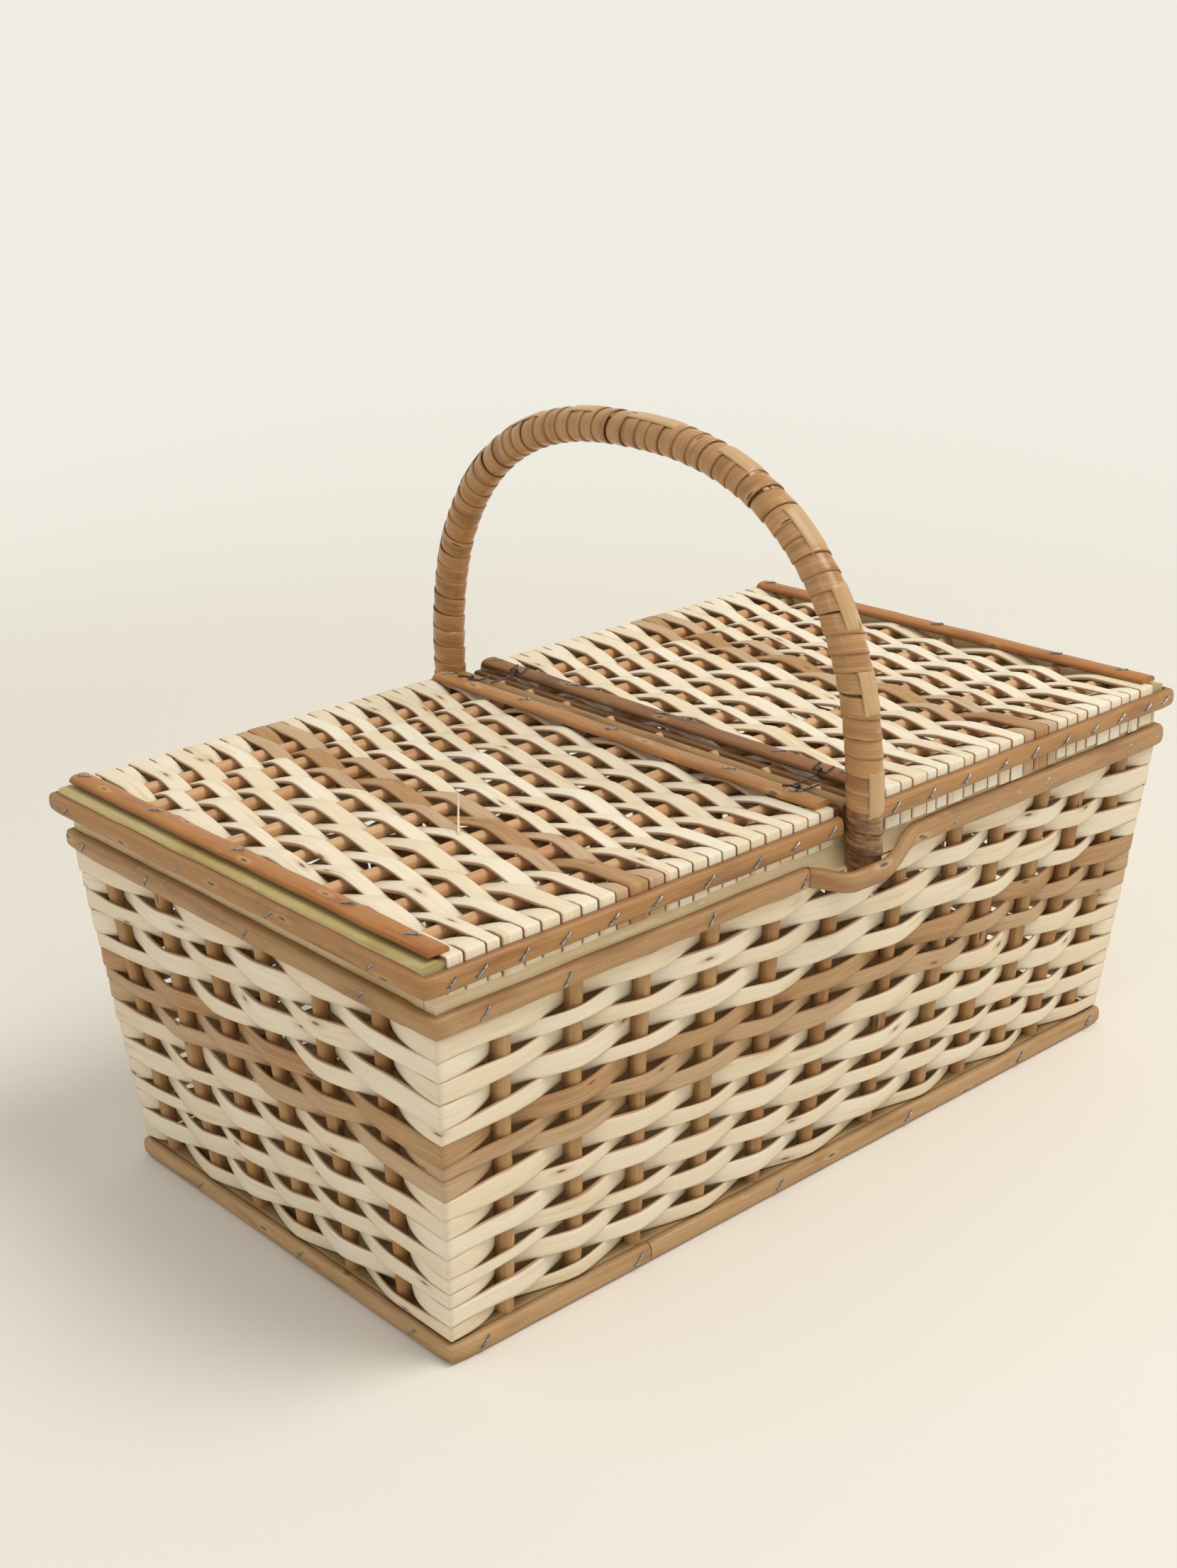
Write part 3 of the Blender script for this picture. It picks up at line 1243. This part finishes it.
def leader_height(s):
    """Over the turns on every second span, under them on the others."""
    height = 0.0
    for a, b in zip(LEADER_SPANS_MM[::2], LEADER_SPANS_MM[1::2]):
        rise, fall = clamped((s - a * MM) / LEADER_LAP), clamped((b * MM - s) / LEADER_LAP)
        height = max(height, ease(min(rise, fall)))
    return LEADER_UNDER + (LEADER_OVER - LEADER_UNDER) * height


leader = []
for step in range(LEADER_STEPS + 1):
    s = LEADER_INSET + (HANDLE_LENGTH - 2 * LEADER_INSET) * step / LEADER_STEPS
    centre, run, out = on_handle(s)
    leader.append((centre + out * leader_height(s), out, 1.0, 0.0))
sweep(
    "handle_leader", [leader], LEADER, "basket", "handle_skein",
    half_width=LEADER_HALF, front=0.35 * MM, back=0.35 * MM, bow=60.0, sides=14, **SKEIN_SECTION,
)
print("handle turns:", round(turns, 1), "length:", round(HANDLE_LENGTH, 4))

# %% [markdown]
# ## Staples
# The bands are held by fine-wire staples shot in at a slant. One staple is a bent bit of flat
# wire; Geometry Nodes put it on a list of points, each with its own turn.

# %% Staple tree
STAPLE_CROWN = 5.7 * MM


def staple_shape():
    half = STAPLE_CROWN / 2
    # one leg from its buried end to the bend, then the same again mirrored
    line = [(-half, 0, -0.9 * MM), (-half, 0, 0.1 * MM), (-half + 0.3 * MM, 0, 0.35 * MM)]
    line += [(-x, y, z) for x, y, z in reversed(line)]
    route = [(Vector(p), Y_AXIS, 1.0, 0.0) for p in line]
    values = {"Half width": 0.62 * MM, "Front": 0.35 * MM, "Back": 0.35 * MM, "Sides": 8}
    values["Material"] = STEEL
    return run_tree("staple", route_mesh("staple", [route]), SWEEP, values)


def object_noise(tree, scale, detail, stretch=None):
    """Noise on Object coordinates, stretched along one axis where there is a stretch."""
    place = add(tree, "ShaderNodeTexCoord").outputs["Object"]
    if stretch:
        place = add(tree, "ShaderNodeMapping", {"Vector": place, "Scale": stretch})
    values = {"Vector": place, "Scale": scale, "Detail": detail}
    return add(tree, "ShaderNodeTexNoise", values).outputs[0]


def steel(name, bright, dull):
    """Drawn wire: grey, a little dull and spotted. The staples are zinc-plated, the hinges iron."""
    material, tree, shader = start_material(name)
    spots = object_noise(tree, 900.0, 3.0)
    colour = mix(tree, fade(tree, spots, 0.4, 0.65), bright, dull)
    dress(tree, shader, colour, fade(tree, spots, 0.3, 0.7, 0.28, 0.5))
    shader.inputs["Metallic"].default_value = 1.0
    return material


# Bright cool specks on the brown bands.
STEEL = steel("Galvanised steel wire", "#B4B8BC", "#75787B")
# Nearly black loops beside the handle.
IRON = steel("Annealed iron wire", "#6A6763", "#423E3A")


STAPLE_INPUTS = (
    ("Points", "NodeSocketGeometry", None),
    ("Staple size", "NodeSocketFloat", 1.0),
    ("Material", "NodeSocketMaterial", None),
)


def build_staple_tree(shape):
    tree, given = start_tree("Staples", STAPLE_INPUTS)
    one = add(tree, "GeometryNodeObjectInfo", {"Object": shape}).outputs["Geometry"]
    turn = add(tree, "FunctionNodeEulerToRotation", {0: named(tree, "turn", "FLOAT_VECTOR")})
    values = {"Points": given["Points"], "Instance": one, "Rotation": turn}
    values["Scale"] = given["Staple size"]
    placed = add(tree, "GeometryNodeInstanceOnPoints", values)
    return end_tree(tree, placed, given["Material"])


STAPLE = staple_shape()
STAPLE_TREE = build_staple_tree(STAPLE)


def staples(name, body, spots, run, out, slant):
    """spots are places on a band; the staple's crown lies at a slant to the band's run."""
    mesh = bpy.data.meshes.new(name)
    chance = random.Random(name)
    turns = []
    for spot in spots:
        tilt = math.radians(slant + chance.uniform(-7, 7))
        crown = math.cos(tilt) * run + math.sin(tilt) * out.cross(run)
        turns.extend(Matrix((crown, out.cross(crown), out)).transposed().to_euler())
    mesh.from_pydata(spots, [], [])
    mesh.attributes.new("turn", "FLOAT_VECTOR", "POINT").data.foreach_set("vector", turns)
    piece = run_tree(name, mesh, STAPLE_TREE, {"Material": STEEL, "Staple size": 1.0})
    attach(piece, body)
    TALLY[name] = len(piece.data.polygons)


def staple_side(name, body, marks_mm, out, distance, level, slant):
    """Staples at marks along the side that looks out, at a distance from the middle."""
    marks_axis = X_AXIS if out.y else Y_AXIS
    spots = [marks_axis * (mark * MM) + out * distance + UP * level for mark in marks_mm]
    staples(name, body, spots, UP.cross(out), out, slant)


# %% Staples on the bands
LID_FRONT_MM = {
    "left": (-222, -208, -187.5, -167, -142, -119, -90, -62, -40, -17),
    "right": (24, 48, 72, 99, 122, 146, 168, 189, 211, 225),
}
RIM_FRONT_MM = (-206, -165, -87, -32, 35, 67, 134, 199)
BASE_FRONT_MM = (-200, -115, -27, 62, 148, 205)
END_LID_MM = (121, 28, -39, -106)
END_RIM_MM = (119, 65, -12, -91)
END_BASE_MM = (67, -13, -93)
TOP_BAND_MM = (125, 65, 2, -75, -115)
BASE_STAPLE_LEVEL = 0.005
CROWN_ON_TOP = 2.95 * MM
for name, side in SIDES.items():
    body = f"lid_{name}"
    end, long_side = SIDE_BAND_HALF[0] + 3.45 * MM, SIDE_BAND_HALF[1] + 3.75 * MM
    for word, marks, out, distance, slant in (
        ("front", LID_FRONT_MM[name], -Y_AXIS, long_side, 38),
        ("back", LID_FRONT_MM[name], Y_AXIS, long_side, 38),
        ("end", END_LID_MM, side * X_AXIS, end, 35),
    ):
        staple_side(f"{body}_staples_{word}", body, marks, out, distance, SIDE_BAND_LEVEL, slant)
    for part in ("end_band", "hinge_band"):
        low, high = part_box(f"{body}_{part}")
        x, top = (low.x + high.x) / 2, TOP_BAND_BASE + CROWN_ON_TOP
        spots = [(x, mark * MM, top) for mark in TOP_BAND_MM]
        staples(f"{body}_staples_{part}", body, spots, Y_AXIS, UP, 40)
for word, out, axis, rim_marks, base_marks, slant in (
    ("front", -Y_AXIS, 1, RIM_FRONT_MM, BASE_FRONT_MM, 55),
    ("back", Y_AXIS, 1, RIM_FRONT_MM, BASE_FRONT_MM, 55),
    ("left", -X_AXIS, 0, END_RIM_MM, END_BASE_MM, 50),
    ("right", X_AXIS, 0, END_RIM_MM, END_BASE_MM, 50),
):
    rim, base = RIM_BAND_HALF[axis] + BAND_THICK, BASE_BAND_HALF[axis] + BAND_THICK
    staple_side(f"rim_staples_{word}", "basket", rim_marks, out, rim, RIM_BAND_LEVEL, slant)
    staple_side(f"base_staples_{word}", "basket", base_marks, out, base, BASE_STAPLE_LEVEL, 45)
bpy.data.objects.remove(STAPLE, do_unlink=True)
print("staple pieces:", [key for key in TALLY if "staples" in key])

# %% [markdown]
# ## What stays from the solids
# The wire hinges, the base board and its slats, and the core of the handle keep their solids and
# get their finishes.


# %% Finishes for the solids that stay
def wood_by_place(name, light, dark, grain_mm, along):
    """Plain wood on Object coordinates: grain lines stretched along one axis."""
    material, tree, shader = start_material(name)
    scale = [1 / (grain_mm * MM)] * 3
    scale[along] /= 22
    grain = object_noise(tree, 1.0, 4.0, scale)
    colour = mix(tree, fade(tree, grain, 0.35, 0.7), light, dark)
    dress(tree, shader, colour, fade(tree, grain, 0.2, 0.8, 0.5, 0.7), grain, 0.3, 0.2)
    return material


def finish(node, material):
    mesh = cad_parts[node].data
    if not mesh.materials:
        mesh.materials.append(material)
    for i in range(len(mesh.materials)):
        mesh.materials[i] = material


SLAT_COLOURS = "#D8C696", "#BFA86C", 1.2
# Smooth and honey-coloured inside the basket.
BOARD = wood_by_place("Thin poplar board", "#CDB283", "#B89464", 3.0, 0)
# Paler and finer, with the grain along each slat.
SLAT_X = wood_by_place("Split white wood slat, lengthwise", *SLAT_COLOURS, 0)
SLAT_Y = wood_by_place("Split white wood slat, crosswise", *SLAT_COLOURS, 1)
# Brown wood, nearly all of it under the winding.
CORE = wood_by_place("Brown willow rod end", "#9A6C3C", "#7A5028", 1.5, 2)
finish("base_board", BOARD)
for word, material in (("front", SLAT_X), ("back", SLAT_X), ("left", SLAT_Y), ("right", SLAT_Y)):
    finish(f"base_slat_{word}", material)
finish("handle_core", CORE)
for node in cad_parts:
    if "hinge_eye" in node or "hinge_bail" in node:
        finish(node, IRON)
print("total faces:", sum(TALLY.values()))

# %% Size and finish
SCENE_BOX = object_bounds()
for label, box in (("cad box", CAD_BOX), ("scene box", SCENE_BOX)):
    print(label, [[round(c, 4) for c in v] for v in box])
